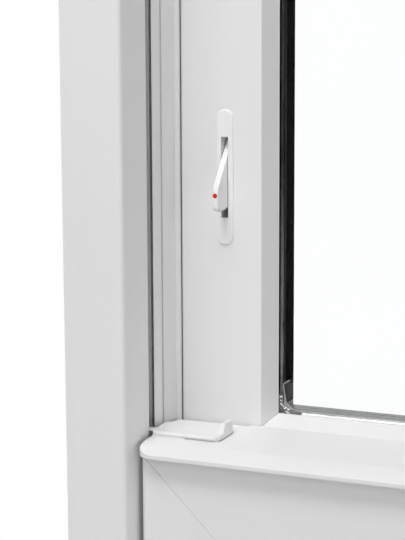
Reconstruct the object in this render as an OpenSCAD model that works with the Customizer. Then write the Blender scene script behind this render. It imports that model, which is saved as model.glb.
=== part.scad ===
// Vinyl double-hung window: a welded frame, two sliding sashes with sealed double glazing,
// coil balances in the jambs, tilt latches, a cam lock and a pair of opening limiters.
// X runs along the width, +Y points outdoors and +Z is up. The sill's underside is at Z = 0.

/* [Frame] */
// Overall width of the frame
frame_w = 610; // [480:1:900]
// Overall height of the frame
frame_h = 965; // [800:1:1400]
// Depth of the frame, indoors to outdoors
frame_d = 132; // [130:1:150]
// Width of the jamb face seen from indoors
jamb_w = 33.5; // [32:0.5:45]
// Height of the sill where the lower sash lands
seat_h = 24; // [20:1:28]

/* [Sashes] */
// Width of a sash member's face, outer edge to glazing bevel
face_w = 46.1; // [42:0.1:60]
// Depth of a sash member, indoors to outdoors
sash_d = 51.4; // [50:0.1:52]
// How far the glazing bevel runs in across the face
bevel_run = 5.2; // [4:0.1:8]
// How deep the glazing bevel falls
bevel_fall = 11.9; // [6:0.1:12.5]
// Gap between a sash and the jamb's track face
side_gap = 2.2; // [1:0.1:4]
// How far the lower sash's face sits behind the jamb face
face_setback = 15; // [13:0.5:18]
// How far the finger lip stands out in front of the lower sash's face
lip_reach = 8; // [5:0.5:10]

/* [Glazing] */
// Thickness of each pane
pane_t = 3; // [2:0.5:4]
// Width of the sealed space between the panes
air_gap = 16; // [10:0.5:16]

/* [Opening limiter] */
// Length of the limiter's plate
plate_len = 71.8; // [60:0.1:80]
// Width of the limiter's plate
plate_w = 9.2; // [9:0.1:14]
// Height of the plate's middle above the lower sash's top
plate_rise = 134.3; // [120:1:200]
// Distance from the sash's side to the middle of the plate
plate_inset = 25.7; // [20:0.1:28]
// Thickness of the limiter's lever
lever_t = 3.3; // [2.5:0.1:3.5]

/* [Balances] */
// Width of the slot that each balance shoe looks out of
slot_w = 8.8; // [7:0.1:9.5]
// Height of a balance shoe
shoe_h = 50; // [40:1:70]

/* [Lock] */
// Outer radius of the lock's cam
cam_r = 20; // [19:0.1:20]
// Length of the lock's handle from its pivot
handle_len = 40; // [25:1:50]

/* [Hidden] */
$fn = 64;

// Walls and clearances
wall = 2.8;           // wall of a hollow vinyl extrusion
web = 2.4;            // wall between two chambers
gap = 0.3;            // between parts of different bodies
fit = 0.05;           // radial clearance of a running fit
bead_cut = 0.15;      // half the joint between two glazing beads
weld_cut = 0.3;       // half the weld groove on a mitre, measured along the member
weld_d = 0.3;         // depth of the weld groove
end_m = 60;           // how far in a mitred end reaches
fixing_inset = 145;   // from each end of a jamb to its fixing hole
fixing_r = 2.5;

// Depths are measured from the indoor face of the frame
lower_y = face_setback;
parting_y = lower_y + sash_d + gap;
parting_t = 1.9;
upper_y = parting_y + parting_t + 0.4;
outer_stop_y = upper_y + sash_d + gap;
sash_step = upper_y - lower_y;
slot_y = face_setback + 15.6;       // near edge of the lower balance slot
outer_stop_reach = 12;

// Outline of the sashes
sash_w = frame_w - 2 * (jamb_w + side_gap);
cover_t = 1.5;                      // fin on the top rail that covers the gap between the sashes
cover_gap = 0.5;
fin_side = 40;
lip_top = 1.1;                      // the top rail's top, above the meeting line
lip_end_r = 9;                      // rounded ends of the finger lip
lip_bend_r = 30;                    // soft bend where the lip starts to slope
lip_bend_y = 8.3;
lip_bend_len = 10.5;
lip_front = 2.2;                     // height of the lip's flat front
rail_drop = 4.6;                    // the lower sash's outline starts this far below it
sash_inner = face_w + bevel_run;    // outer edge to the daylight
rebate = face_w - 7;                // outer edge to the floor of the glazing rebate
leg_d = bevel_fall + 0.8;           // depth of the leg that the glass lands on
meeting_lift = 0.5;                 // the meeting rail's face ends this far above the line
lower_bottom = seat_h + 3;
upper_top = frame_h - jamb_w - gap;
meeting_z = (upper_top + lower_bottom + face_w - rail_drop) / 2;
lower_top = meeting_z - rail_drop;
upper_bottom = meeting_z + meeting_lift - face_w;

// Glazing, measured from a sash's indoor face
gasket_t = 1;
pane_in = leg_d + gasket_t;
pane_out = pane_in + pane_t + air_gap;
bead_y = pane_out + pane_t;
glass_drop = 1.1;                   // the sealed unit rests on the floor of its rebate
pane_edge = rebate + glass_drop;
spacer_h = 8;
spacer_t = 0.5;
spacer_line = sash_inner + 1.7;
bead_reach = sash_inner - 2.8;       // the outdoor beads stay out of the daylight

// Balances, in the jamb behind the track face
lip_t = 1.5;                        // lips on both sides of the slot
lip_edge = 0.8;                     // how far the far lip's edge is sunk
lip_curve = 3.7;                    // depth over which the far lip curves down to it
near_cover = 3.6;                   // how far the lips cover the shoe's channel
far_cover = 1.6;
fin_t = 1;                          // wall between the shoe's channel and the hollow past it
fin_drop = 3;                       // its top is this far behind the track face
hollow_w = 4.3;
hollow_d = 7;
groove_y = slot_y + 17.5;           // groove in the track face
groove_w = 2.2;
groove_d = 4;
slot_end = slot_y + slot_w;
pocket_depth = 16.5;
pocket_y = slot_y - near_cover;
pocket_end = slot_end + far_cover;
shoe_gap = 0.4;
shoe_y = pocket_y + shoe_gap;
shoe_w = pocket_end - pocket_y - 2 * shoe_gap;
shoe_in = lip_t + 0.6;
shoe_depth = pocket_depth - 1.2;
shoe_mid = slot_y + slot_w / 2;
bar_t = 4;
bar_h = 8;
shoe_cam_r = 5.2;
pivot_rise = 20;
coil_r = 6.6;
coil_h = 40;
ribbon_w = 8;
ribbon_t = 0.4;
coil_x = shoe_in + shoe_depth / 2;
lower_coil_z = meeting_z - 70;
upper_coil_z = upper_top - 160;      // below the upper latch's nose in every pose

// Opening limiter
plate_t = 1;
slot_len = 42.8;
lever_gap = 0.3;
limiter_x = -sash_w / 2 + plate_inset;
limiter_z = meeting_z + plate_rise;
case_w = 7;
case_len = 60;
case_depth = 20;
foot_room = 1.4;                    // the lever's foot swings this far below the plate's slot
hinge_y = 7;                        // behind the sash's face
hinge_rise = 15.7;                  // above the middle of the plate
hinge_r = 1;
boss_r = 2.2;
lever_reach = 21.3;                 // from the hinge out to the lever's front
lever_drop = 32.5;                  // and down to its underside
dot_r = 1.2;
dot_t = 0.3;
dot_drop = 23.7;                    // below the hinge
// Bends of the lever's front, from the top down, with the tilt of the part below each one's top
lever_bends = [[[19.92, -18.47], 40.5], [[20.83, -20.26], 27], [[21.3, -22.2], 13.5]];
foot_back = 7.2;

// Tilt latches
latch_travel = 9;
latch_w = 23.6;
latch_len = 38;
latch_y = slot_y - 1.4;
latch_seat = 0.8;
latch_foot = 19;                    // length of the base's foot, in front of the slider
latch_foot_w = 0.7;
nose_w = 4;
nose_reach = 10;
slider_t = 2.6;                     // at the rear; the top falls toward the front
slider_front = 1.85;
thumb_h = 6.5;                        // height of the thumb tab
thumb_t = 3.8;
thumb_x = latch_len - 4.8;
scoop_r = 6;
tongue_len = 18;

// Lock
lock_y = 55;
cam_z = meeting_z - 16.2;
cam_t = 3.6;
cam_room = 0.6;
spindle_r = 3;
lock_base_t = 3.6;

// ---------------------------------------------------------------- placing helpers

// Moves a shape from depth d to the model's own Y
module at_depth(d) translate([0, d - frame_d / 2, 0]) children();

// A 2D shape (x is height, y is depth) pulled along X, centred
module along_x(len) translate([len / 2, 0, 0]) rotate([0, -90, 0]) linear_extrude(len) children();

// A shape and its mirror image across the window's middle
module pair() {
  children();
  mirror([1, 0, 0]) children();
}

// A block from corner a to corner b
module block(a, b) translate(a) cube(b - a);

// What is left of a square corner when its edge is rounded, to be cut away
module edge_cut(r) difference() {
  translate([-1, -1]) square(r + 1);
  translate([r, r]) circle(r);
}

// A prism through the whole depth, from an outline in X and Z
module side_prism(points) translate([0, frame_d, 0]) rotate([90, 0, 0])
  linear_extrude(2 * frame_d) polygon(points);

// The part of a rectangle (half width w, from z0 to z1) that belongs to one mitred side
function left_mitre(w, z0, z1, m, c = 0) =
  [[-w, z0 + c], [-w, z1 - c], [m - w, z1 - m - c], [m - w, z0 + m + c]];
function top_mitre(w, z1, m, c = 0) =
  [[c - w, z1], [w - c, z1], [w - m - c, z1 - m], [m - w + c, z1 - m]];
function bottom_mitre(w, z0, m, c = 0) =
  [[c - w, z0], [w - c, z0], [w - m - c, z0 + m], [m - w + c, z0 + m]];

// ---------------------------------------------------------------- frame

// Square with a rounded indoor edge; x is distance from the outside of the frame
module frame_outline(w) difference() {
  square([w, frame_d]);
  translate([w, 0]) mirror([1, 0]) edge_cut(3);
  edge_cut(1);
}

// The stops that stand on a jamb's or the head's inner face
module stops() {
  translate([jamb_w - 1, parting_y]) square([side_gap + 1.2, parting_t]);
  translate([jamb_w - 1, outer_stop_y]) square([outer_stop_reach + 1, frame_d - outer_stop_y]);
}

// Room for a balance shoe: its channel, the slot, and the hollow under the curved far lip
module balance_pocket() {
  lip_r = (pow(lip_curve, 2) + pow(lip_edge, 2)) / (2 * lip_edge);
  translate([jamb_w - lip_t - pocket_depth, pocket_y]) square([pocket_depth, pocket_end - pocket_y]);
  polygon([[jamb_w + 1, slot_y], [jamb_w + 1, slot_end], [jamb_w - lip_edge, slot_end],
    [jamb_w - lip_t, pocket_end], [jamb_w - fin_drop, pocket_end], [jamb_w - fin_drop, slot_y]]);
  difference() {
    translate([jamb_w - lip_edge, slot_end - 1]) square([lip_edge + 1, lip_curve + 1]);
    translate([jamb_w - lip_r, slot_end + lip_curve]) circle(lip_r);
  }
  translate([jamb_w - fin_drop, slot_y]) square([fin_drop - lip_t, pocket_end + fin_t + hollow_w - slot_y]);
  translate([jamb_w - hollow_d, pocket_end + fin_t]) square([hollow_d - lip_t, hollow_w]);
  translate([jamb_w - groove_d, groove_y]) square([groove_d + 1, groove_w]);
}

module jamb_profile() difference() {
  union() {
    frame_outline(jamb_w);
    stops();
  }
  translate([wall, wall]) square([jamb_w - 2 * wall, pocket_y - 2 * wall]);
  for (step = [0, sash_step]) translate([0, step]) {
    balance_pocket();
    translate([wall, pocket_y]) square([jamb_w - pocket_depth - lip_t - 2 * wall, 37]);
    translate([jamb_w - pocket_depth - lip_t, groove_y + groove_w + 1.7])
      square([pocket_depth - 1.3, 12]);
  }
  translate([wall, outer_stop_y - 3]) square([jamb_w - 2 * wall, frame_d - outer_stop_y]);
}

module head_profile() difference() {
  union() {
    frame_outline(jamb_w);
    stops();
  }
  translate([wall, wall]) square([jamb_w - 2 * wall, parting_y - wall - web]);
  translate([wall, parting_y]) square([jamb_w - 2 * wall, frame_d - parting_y - wall]);
}

module sill_outline() difference() {
  polygon([[0, 0], [jamb_w, 0], [jamb_w, lower_y - 3], [seat_h, lower_y - 1.5],
    [seat_h, upper_y], [seat_h - 7, frame_d], [0, frame_d]]);
  translate([jamb_w, 0]) mirror([1, 0]) edge_cut(3);
}

module sill_profile() difference() {
  sill_outline();
  translate([wall, wall]) square([seat_h - 2 * wall, parting_y - wall - web]);
  translate([wall, parting_y]) square([seat_h - 7 - 2 * wall, frame_d - parting_y - wall]);
}

// The groove that the weld between a jamb and the head leaves on the indoor face
module frame_weld() translate([-frame_w / 2, 0, frame_h]) rotate([0, 45, 0])
  block([-1, -1, -weld_cut / 2], [jamb_w * sqrt(2), weld_d, weld_cut / 2]);

module jamb() color("white") at_depth(0) difference() {
  intersection() {
    translate([-frame_w / 2, 0, 0]) linear_extrude(frame_h) jamb_profile();
    side_prism([[-frame_w / 2, 0], [-frame_w / 2, frame_h],
      [end_m - frame_w / 2, frame_h - end_m], [end_m - frame_w / 2, 0]]);
  }
  intersection() {
    along_x(frame_w) sill_outline();
    side_prism(bottom_mitre(frame_w / 2, 0, end_m));
  }
  frame_weld();
  // fixing holes through the lower track
  for (z = [fixing_inset, frame_h - fixing_inset])
    translate([-frame_w / 2 - 1, slot_y + 29, z]) rotate([0, 90, 0])
      cylinder(r = fixing_r, h = jamb_w + 3);
}

module head() color("white") at_depth(0) difference() {
  intersection() {
    translate([0, 0, frame_h]) mirror([0, 0, 1]) along_x(frame_w) head_profile();
    side_prism(top_mitre(frame_w / 2, frame_h, end_m));
  }
  pair() frame_weld();
}

module sill() color("white") at_depth(0) difference() {
  intersection() {
    along_x(frame_w) sill_profile();
    side_prism(bottom_mitre(frame_w / 2, 0, end_m));
  }
  // drain slots in the outdoor face
  for (side = [-1, 1]) translate([side * frame_w / 3 - 12, frame_d - 5, 6]) cube([24, 6, 4]);
}

// ---------------------------------------------------------------- balances

// Places a balance part: x is depth behind the track face, y is depth from indoors
module in_pocket(z) translate([-frame_w / 2 + jamb_w, 0, z]) mirror([1, 0, 0]) children();

// A spring housing that fills the pocket, open below for the ribbon
module balance_housing() difference() {
  block([lip_t, pocket_y, 0], [lip_t + pocket_depth, pocket_end, coil_h]);
  translate([coil_x, shoe_y + 0.9, coil_h - 10]) rotate([-90, 0, 0])
    cylinder(r = coil_r + gap, h = shoe_w - 1.8);
  block([coil_x + coil_r - gap, shoe_mid - ribbon_w / 2 - gap, -1],
    [coil_x + coil_r + ribbon_t + gap, shoe_mid + ribbon_w / 2 + gap, coil_h - 10]);
}

module balance_coil() translate([coil_x, shoe_y + 0.9 + gap, coil_h - 10])
  rotate([-90, 0, 0]) difference() {
    cylinder(r = coil_r, h = shoe_w - 1.8 - 2 * gap);
    translate([0, 0, -1]) cylinder(r = coil_r - 3, h = shoe_w);
  }

module each_balance() {
  pair() at_depth(0) in_pocket(lower_coil_z) children();
  pair() at_depth(sash_step) in_pocket(upper_coil_z) children();
}

module balance_housings() color("gainsboro") each_balance() balance_housing();
module balance_coils() color("silver") each_balance() balance_coil();

// The strip between a shoe's top and its coil
module ribbon(z0, z1) in_pocket(0)
  block([coil_x + coil_r, shoe_mid - ribbon_w / 2, z0],
    [coil_x + coil_r + ribbon_t, shoe_mid + ribbon_w / 2, z1]);

module lower_ribbons() color("silver") pair() at_depth(0)
  ribbon(lower_bottom + shoe_h + gap, lower_coil_z + coil_h - 10);
module upper_ribbons() color("silver") pair() at_depth(sash_step)
  ribbon(upper_bottom + shoe_h + gap, upper_coil_z + coil_h - 10);

// A block that slides in the pocket, bored for the cam that grips the pivot bar
module shoe() difference() {
  translate([shoe_in, shoe_y, 0]) cube([shoe_depth, shoe_w, shoe_h]);
  translate([0, shoe_mid, pivot_rise]) rotate([0, 90, 0]) cylinder(r = shoe_cam_r, h = 30);
}

module shoe_cam() difference() {
  translate([shoe_in, shoe_mid, pivot_rise]) rotate([0, 90, 0])
    cylinder(r = shoe_cam_r, h = shoe_depth);
  translate([0, shoe_mid - bar_t / 2, pivot_rise - bar_h / 2]) cube([30, bar_t, 20]);
}

// A flat bar from the shoe into the foot of the sash
module pivot_bar() block([-(side_gap + 30), shoe_mid - bar_t / 2, pivot_rise - bar_h / 2],
  [shoe_in + shoe_depth - 1, shoe_mid + bar_t / 2, pivot_rise + bar_h / 2]);

module lower_shoes() color("white") pair() at_depth(0) in_pocket(lower_bottom) shoe();
module upper_shoes() color("white") pair() at_depth(sash_step) in_pocket(upper_bottom) shoe();
module lower_shoe_cams() color("dimgray") pair() at_depth(0) in_pocket(lower_bottom) shoe_cam();
module upper_shoe_cams() color("dimgray") pair() at_depth(sash_step)
  in_pocket(upper_bottom) shoe_cam();
module lower_pivot_bars() color("silver") pair() at_depth(0) in_pocket(lower_bottom) pivot_bar();
module upper_pivot_bars() color("silver") pair() at_depth(sash_step)
  in_pocket(upper_bottom) pivot_bar();

// ---------------------------------------------------------------- sash members

// Section of a sash member; x is distance from the sash's outer edge, y from its indoor face
module sash_outline(edge_r) difference() {
  polygon([[0, 0], [face_w, 0], [sash_inner - 0.4, bevel_fall - 0.2], [sash_inner, bevel_fall + 0.4],
    [sash_inner, leg_d], [rebate, leg_d], [rebate, sash_d], [0, sash_d]]);
  edge_cut(edge_r);
}

module sash_chambers() {
  chamber_w = rebate - 2 * wall;
  middle = sash_d / 2 - 1;
  translate([wall, wall]) square([chamber_w, middle - wall - web / 2]);
  translate([wall, middle + web / 2]) square([chamber_w, sash_d - middle - wall - web / 2]);
}

module sash_profile(edge_r) difference() {
  sash_outline(edge_r);
  sash_chambers();
}

// Each raw member is mitred, and drawn back a little along its indoor weld
module raw_stile(z0, z1, edge_r) intersection() {
  translate([-sash_w / 2, 0, z0]) linear_extrude(z1 - z0) sash_profile(edge_r);
  side_prism(left_mitre(sash_w / 2, z0, z1, end_m));
  union() {
    side_prism(left_mitre(sash_w / 2, z0, z1, end_m, weld_cut));
    translate([-sash_w / 2, weld_d, z0]) linear_extrude(z1 - z0) sash_outline(edge_r);
  }
}

module raw_top(z1, edge_r) intersection() {
  translate([0, 0, z1]) mirror([0, 0, 1]) along_x(sash_w) sash_profile(edge_r);
  side_prism(top_mitre(sash_w / 2, z1, end_m));
  union() {
    side_prism(top_mitre(sash_w / 2, z1, end_m, weld_cut));
    translate([0, weld_d, z1]) mirror([0, 0, 1]) along_x(sash_w) sash_outline(edge_r);
  }
}

module raw_bottom(z0, edge_r) intersection() {
  translate([0, 0, z0]) along_x(sash_w) sash_profile(edge_r);
  side_prism(bottom_mitre(sash_w / 2, z0, end_m));
  union() {
    side_prism(bottom_mitre(sash_w / 2, z0, end_m, weld_cut));
    translate([0, weld_d, z0]) along_x(sash_w) sash_outline(edge_r);
  }
}

// The hole for the pivot bar in a stile's side
module bar_hole(z0) translate([-sash_w / 2 - 1, shoe_mid - lower_y - bar_t / 2 - gap,
  z0 + pivot_rise - bar_h / 2 - gap]) cube([wall + 2, bar_t + 2 * gap, bar_h + 2 * gap]);

// A groove in a stile's side that holds the pile strip
module pile_groove(z0, z1) block([-sash_w / 2 - 1, 40, z0 - 1], [-sash_w / 2 + 1, 45, z1 + 1]);

module upper_stile() color("white") at_depth(upper_y) difference() {
  raw_stile(upper_bottom, upper_top, 1.5);
  bar_hole(upper_bottom);
  pile_groove(upper_bottom, upper_top);
  translate([limiter_x - case_w / 2, -1, limiter_z - case_len / 2])
    cube([case_w, wall + 2, case_len]);
  upper_latch_space();
}

module lower_stile() color("white") at_depth(lower_y) difference() {
  raw_stile(lower_bottom, lower_top, 3);
  bar_hole(lower_bottom);
  pile_groove(lower_bottom, lower_top);
}

module upper_top_rail() color("white") at_depth(upper_y) difference() {
  raw_top(upper_top, 1.5);
  pair() upper_latch_space();
}

// The rail that meets the lower sash, cut for the keeper and the lock's cam
module upper_meeting_rail() color("white") difference() {
  at_depth(upper_y) raw_bottom(upper_bottom, 1.5);
  at_depth(upper_y) keeper_plate(0);
  cam_sweep();
  keeper_holes(1.5);
}

// Section of the top slab with the finger lip; x is height above the meeting line
module slab_profile() difference() {
  front_top = lip_front - rail_drop;
  polygon([[-rail_drop, 0], [-rail_drop, sash_d], [lip_top, sash_d], [lip_top, 3],
    [front_top, 0.3 - lip_reach], [front_top - 0.3, -lip_reach], [-rail_drop, -lip_reach]]);
  translate([lip_top, sash_d]) mirror([0, 1]) mirror([1, 0]) edge_cut(1);
  difference() {
    translate([lip_top - 1.9, lip_bend_y - lip_bend_len]) square([3, lip_bend_len]);
    translate([lip_top - lip_bend_r, lip_bend_y]) circle(lip_bend_r, $fn = 360);
  }
}

module lower_top_rail() color("white") difference() {
  at_depth(lower_y) union() {
    raw_top(lower_top, 0.01);
    block([fin_side - sash_w / 2, sash_d - 1, meeting_z + lip_top - cover_t],
      [sash_w / 2 - fin_side, upper_y - lower_y - cover_gap, meeting_z + lip_top]);
    difference() {
      translate([0, 0, meeting_z]) along_x(sash_w) slab_profile();
      // rounded ends of the lip
      pair() translate([-sash_w / 2, -lip_reach, lower_top - 1]) linear_extrude(20)
        edge_cut(lip_end_r);
    }
  }
  pair() latch_plug();
  cam_sweep();
  at_depth(lock_y) translate([0, 0, cam_z]) cylinder(r = spindle_r + 0.6, h = 40);
  lock_holes(1.6);
}

// The bottom rail, with a lip to lift the sash by
module lower_bottom_rail() color("white") at_depth(lower_y) {
  raw_bottom(lower_bottom, 1.5);
  translate([0, 0, lower_bottom + face_w - 14]) along_x(sash_w - 2 * sash_inner)
    polygon([[0, 0], [-2.2, 0], [-3.6, -6], [-5.4, -7.2], [-4.6, -8.4], [-2.2, -7.6], [2.4, 0]]);
}

// ---------------------------------------------------------------- glazing

// A ring inside the sash outline: a0 and a1 are distances in from its edge, y0 and y1 depths
module ring(z0, z1, a0, a1, y0, y1) difference() {
  block([a0 - sash_w / 2, y0, z0 + a0], [sash_w / 2 - a0, y1, z1 - a0]);
  block([a1 - sash_w / 2, y0 - 1, z0 + a1], [sash_w / 2 - a1, y1 + 1, z1 - a1]);
}

module pane(z0, z1, y) block([pane_edge - sash_w / 2, y, z0 + pane_edge],
  [sash_w / 2 - pane_edge, y + pane_t, z1 - pane_edge]);

module gasket(z0, z1) ring(z0, z1, face_w - 1, sash_inner - 0.4, leg_d, pane_in);

// Bent metal channel, open away from the daylight
module spacer(z0, z1) difference() {
  ring(z0, z1, spacer_line - spacer_h, spacer_line, pane_in + pane_t, pane_out);
  ring(z0, z1, spacer_line - spacer_h - 1, spacer_line - spacer_t,
    pane_in + pane_t + spacer_t, pane_out - spacer_t);
}

module sealant(z0, z1) ring(z0, z1, pane_edge, spacer_line - spacer_h,
  pane_in + pane_t, pane_out);

// Corner of a spacer: a tab up the side channel, a curved rim and the folded web in front
module spacer_corner() {
  r = 10;
  rim = 1.2;
  near = pane_in + pane_t;
  module in_plane(y0, y1) translate([0, near + y1, 0]) rotate([90, 0, 0])
    linear_extrude(y1 - y0) children();
  block([0, near + 2.2, 0], [rim, near + air_gap - 0.6, r + 5]);
  in_plane(1.4, 2.8) intersection() {
    difference() {
      translate([r, r]) circle(r);
      translate([r, r]) circle(r - rim);
    }
    square(r);
  }
  in_plane(0.6, 1.6) difference() {
    square(r - 1);
    translate([r, r]) circle(r - rim / 2);
  }
}

module spacer_corners(z0, z1) pair() for (flip = [0, 1])
  translate([spacer_line - sash_w / 2, 0, flip ? z1 - spacer_line : z0 + spacer_line])
    mirror([0, 0, flip]) spacer_corner();

// Outdoor glazing beads: four mitred strips that snap into the rebate
module bead_profile() polygon([[rebate, bead_y], [bead_reach, bead_y],
  [bead_reach, bead_y + 3], [rebate + 5, sash_d], [rebate, sash_d]]);

module beads(z0, z1) {
  pair() intersection() {
    translate([-sash_w / 2, 0, z0]) linear_extrude(z1 - z0) bead_profile();
    side_prism(left_mitre(sash_w / 2, z0, z1, end_m, bead_cut));
  }
  intersection() {
    translate([0, 0, z1]) mirror([0, 0, 1]) along_x(sash_w) bead_profile();
    side_prism(top_mitre(sash_w / 2, z1, end_m, bead_cut));
  }
  intersection() {
    translate([0, 0, z0]) along_x(sash_w) bead_profile();
    side_prism(bottom_mitre(sash_w / 2, z0, end_m, bead_cut));
  }
}

module upper_inner_pane() color("lightcyan", 0.3) at_depth(upper_y)
  pane(upper_bottom - glass_drop, upper_top - glass_drop, pane_in);
module upper_outer_pane() color("lightcyan", 0.3) at_depth(upper_y)
  pane(upper_bottom - glass_drop, upper_top - glass_drop, pane_out);
module upper_spacer() color("gray") at_depth(upper_y)
  spacer(upper_bottom - glass_drop, upper_top - glass_drop);
module upper_spacer_corners() color("silver") at_depth(upper_y)
  spacer_corners(upper_bottom - glass_drop, upper_top - glass_drop);
module upper_sealant() color("black") at_depth(upper_y)
  sealant(upper_bottom - glass_drop, upper_top - glass_drop);
module upper_gasket() color("dimgray") at_depth(upper_y) gasket(upper_bottom, upper_top);
module upper_beads() color("white") at_depth(upper_y) beads(upper_bottom, upper_top);

module lower_inner_pane() color("lightcyan", 0.3) at_depth(lower_y)
  pane(lower_bottom - glass_drop, lower_top - glass_drop, pane_in);
module lower_outer_pane() color("lightcyan", 0.3) at_depth(lower_y)
  pane(lower_bottom - glass_drop, lower_top - glass_drop, pane_out);
module lower_spacer() color("gray") at_depth(lower_y)
  spacer(lower_bottom - glass_drop, lower_top - glass_drop);
module lower_spacer_corners() color("silver") at_depth(lower_y)
  spacer_corners(lower_bottom - glass_drop, lower_top - glass_drop);
module lower_sealant() color("black") at_depth(lower_y)
  sealant(lower_bottom - glass_drop, lower_top - glass_drop);
module lower_gasket() color("dimgray") at_depth(lower_y) gasket(lower_bottom, lower_top);
module lower_beads() color("white") at_depth(lower_y) beads(lower_bottom, lower_top);

// ---------------------------------------------------------------- weather seals

// Strips in the stiles' grooves, with their brush just clear of the track face
module side_piles(z0, z1) pair() block([-sash_w / 2 - side_gap + gap, 40, z0 + 70],
  [-sash_w / 2 + 1, 45, z1 - 30]);

module upper_piles() color("lightgray") at_depth(upper_y) side_piles(upper_bottom, upper_top);

// Brush strips of the lower sash: one up each side and one along the meeting rail's back
module meeting_pile() color("lightgray") at_depth(lower_y) {
  side_piles(lower_bottom, lower_top);
  block([40 - sash_w / 2, sash_d, lower_top - 34],
    [sash_w / 2 - 40, sash_d + upper_y - lower_y - sash_d - gap, lower_top - 29]);
}

// Hollow bulb under the bottom rail
module bottom_seal() color("dimgray") at_depth(lower_y + sash_d / 2)
  translate([0, 0, lower_bottom]) along_x(sash_w - 20) difference() {
    translate([-2.7, -4]) square([2.7, 8]);
    translate([-1.4, 0]) circle(0.8);
  }

// ---------------------------------------------------------------- opening limiter

module racetrack(len, w) {
  square([w, len - w], center = true);
  for (end = [-1, 1]) translate([0, end * (len - w) / 2]) circle(w / 2);
}

// Half the section of a soft-edged pad; x is distance from its middle, y its height
module pad_half(w, t, r) difference() {
  square([w / 2, t]);
  translate([w / 2, t]) rotate(180) edge_cut(r);
}

// A flat pad with round ends and soft edges, standing toward -Y from y = 0
module soft_pad(len, w, t, r) {
  mirror([0, 1, 0]) linear_extrude(len - w, center = true) {
    pad_half(w, t, r);
    mirror([1, 0]) pad_half(w, t, r);
  }
  for (end = [0, 1]) mirror([0, 0, end]) translate([0, 0, (len - w) / 2]) rotate([90, 0, 0])
    rotate_extrude(angle = 180) pad_half(w, t, r);
}

module at_limiter() at_depth(upper_y) translate([limiter_x, 0, limiter_z]) children();

module limiter_plates() color("white") pair() at_limiter() difference() {
  soft_pad(plate_len, plate_w, plate_t, 0.6);
  block([-lever_t / 2 - lever_gap, -plate_t - 1, -slot_len / 2],
    [lever_t / 2 + lever_gap, 1, slot_len / 2]);
}

// Box behind the plate that the lever folds into, with bearings for its pin
module limiter_housings() color("whitesmoke") pair() at_limiter() difference() {
  translate([-case_w / 2, 0, -case_len / 2]) cube([case_w, case_depth, case_len]);
  block([-lever_t / 2 - lever_gap, -1, -slot_len / 2 - foot_room],
    [lever_t / 2 + lever_gap, case_depth - 1.4, slot_len / 2]);
  translate([-case_w, hinge_y, hinge_rise]) rotate([0, 90, 0])
    cylinder(r = hinge_r, h = 2 * case_w);
}

module limiter_pins() color("silver") pair() at_limiter()
  translate([-case_w / 2, hinge_y, hinge_rise]) rotate([0, 90, 0])
    cylinder(r = hinge_r, h = case_w);

// Side view of the lever, from its hinge: x points indoors, y is up
module lever_side() difference() {
  polygon(concat([[-2.1, -0.6], [1, 3.7]], [for (bend = lever_bends) bend[0]],
    [[lever_reach, -lever_drop], [foot_back, -lever_drop]]));
  translate([lever_reach, -lever_drop]) mirror([1, 0]) edge_cut(3.6);
  translate([foot_back, -lever_drop]) edge_cut(3);
}

// Stands the lever's side view upright, pulled along X and centred
module stand_side(w) translate([-w / 2, hinge_y, hinge_rise]) rotate([90, 0, 90])
  linear_extrude(w) mirror([1, 0]) children();

// Rounds both long edges of the lever's front along a line through p, tilted from upright
module soften(p, tilt) translate([0, hinge_y - p[0], hinge_rise + p[1]]) rotate([-tilt, 0, 0])
  for (side = [0, 1]) mirror([side, 0, 0]) translate([lever_t / 2, 0, 0])
    linear_extrude(80, center = true) mirror([1, 0]) edge_cut(0.7);

module limiter_lever() color("white") at_limiter() difference() {
  union() {
    stand_side(lever_t) lever_side();
    translate([-lever_t / 2, hinge_y, hinge_rise]) rotate([0, 90, 0])
      cylinder(r = boss_r, h = lever_t);
  }
  soften([lever_reach, 0], 0);
  for (bend = lever_bends) soften(bend[0], bend[1]);
  soften([0, -lever_drop], 90);
  translate([-5, hinge_y, hinge_rise]) rotate([0, 90, 0]) cylinder(r = hinge_r + fit, h = 10);
  lever_dot(1);
}

// Coloured disc let into the lever's front face
module lever_dot(out) translate([0, hinge_y - lever_reach + dot_t, hinge_rise - dot_drop])
  rotate([90, 0, 0]) cylinder(r = dot_r, h = dot_t + out);

module limiter_dot() color("red") at_limiter() lever_dot(0.1);

// ---------------------------------------------------------------- keeper and lock

module keeper_plate(cut) translate([0, 0, cam_z + cam_t / 2]) difference() {
  translate([-27, 0, -6]) cube([54, 1.8, 12]);
  if (cut) for (side = [-1, 1]) translate([side * 12.8 - 8.3, -1, -2.7]) cube([16.6, 4, 5.4]);
}

// Blind holes for the keeper's screws
module keeper_holes(r) for (side = [-1, 1]) at_depth(upper_y)
  translate([side * 24, -1, cam_z + cam_t / 2]) rotate([-90, 0, 0]) cylinder(r = r, h = 12);

module keeper() color("silver") difference() {
  at_depth(upper_y) keeper_plate(1);
  keeper_holes(1.5);
  for (side = [-1, 1]) at_depth(upper_y - 1) translate([side * 24, 0, cam_z + cam_t / 2])
    rotate([-90, 0, 0]) cylinder(r = 2.6, h = 2);
}

module keeper_screws() color("silver") for (side = [-1, 1]) at_depth(upper_y)
  translate([side * 24, 0.1, cam_z + cam_t / 2]) rotate([-90, 0, 0]) difference() {
    union() {
      cylinder(r = 1.5, h = 10);
      cylinder(r = 2.5, h = 0.9);
    }
    for (turn = [0, 90]) rotate(turn) translate([-1.6, -0.3, -1]) cube([3.2, 0.6, 1.5]);
  }

// The space that the cam turns in
module cam_sweep() at_depth(lock_y) translate([0, 0, cam_z - cam_room])
  cylinder(r = cam_r + 0.8, h = cam_t + 2 * cam_room);

module lock_holes(r) for (side = [-1, 1]) at_depth(lock_y - 3)
  translate([side * 25, 0, meeting_z - 8]) cylinder(r = r, h = 20);

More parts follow.
